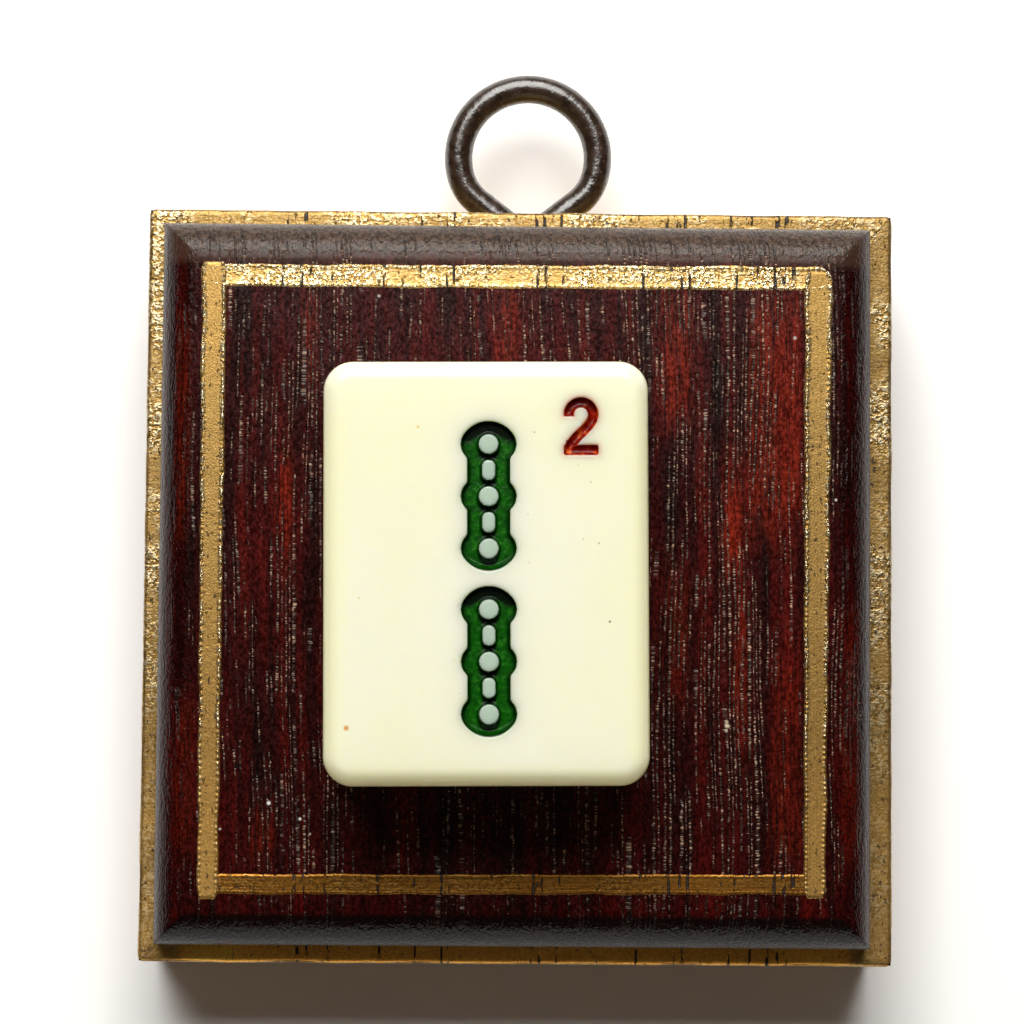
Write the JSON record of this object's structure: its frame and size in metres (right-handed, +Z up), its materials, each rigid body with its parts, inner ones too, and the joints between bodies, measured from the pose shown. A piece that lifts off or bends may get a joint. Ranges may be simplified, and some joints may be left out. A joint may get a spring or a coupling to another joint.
{
  "type": "mounted mahjong tile",
  "caption": "Ivory-coloured mahjong tile engraved with green bamboo sticks and a small red numeral, bonded to a square dark wood plaque with gilt ledge and border and a wire hanging eye.",
  "frame": {"origin": "the hang point: the top of the inside of the wire eye, midway through the wire, where a hook or nail bears", "axes": "+Z up as it hangs, +Y back towards the wall, +X to the right as the tile is seen from the front"},
  "size_m": [0.057, 0.032, 0.0693],
  "materials": {
    "dark_wood": "satin",
    "gold_paint": "satin",
    "bronzed_wire": "gloss",
    "clear_glue": "gloss",
    "ivory_resin": "gloss",
    "green_paint": "gloss",
    "red_paint": "gloss"
  },
  "bodies": {
    "root": {"plaque_board": "dark_wood", "gilt_rim": "gold_paint", "gold_border": "gold_paint", "screw_eye": "bronzed_wire", "glue_pad": "clear_glue", "tile_body": "ivory_resin", "upper_bamboo_paint": "green_paint", "lower_bamboo_paint": "green_paint", "numeral_paint": "red_paint"}
  },
  "joints": []
}
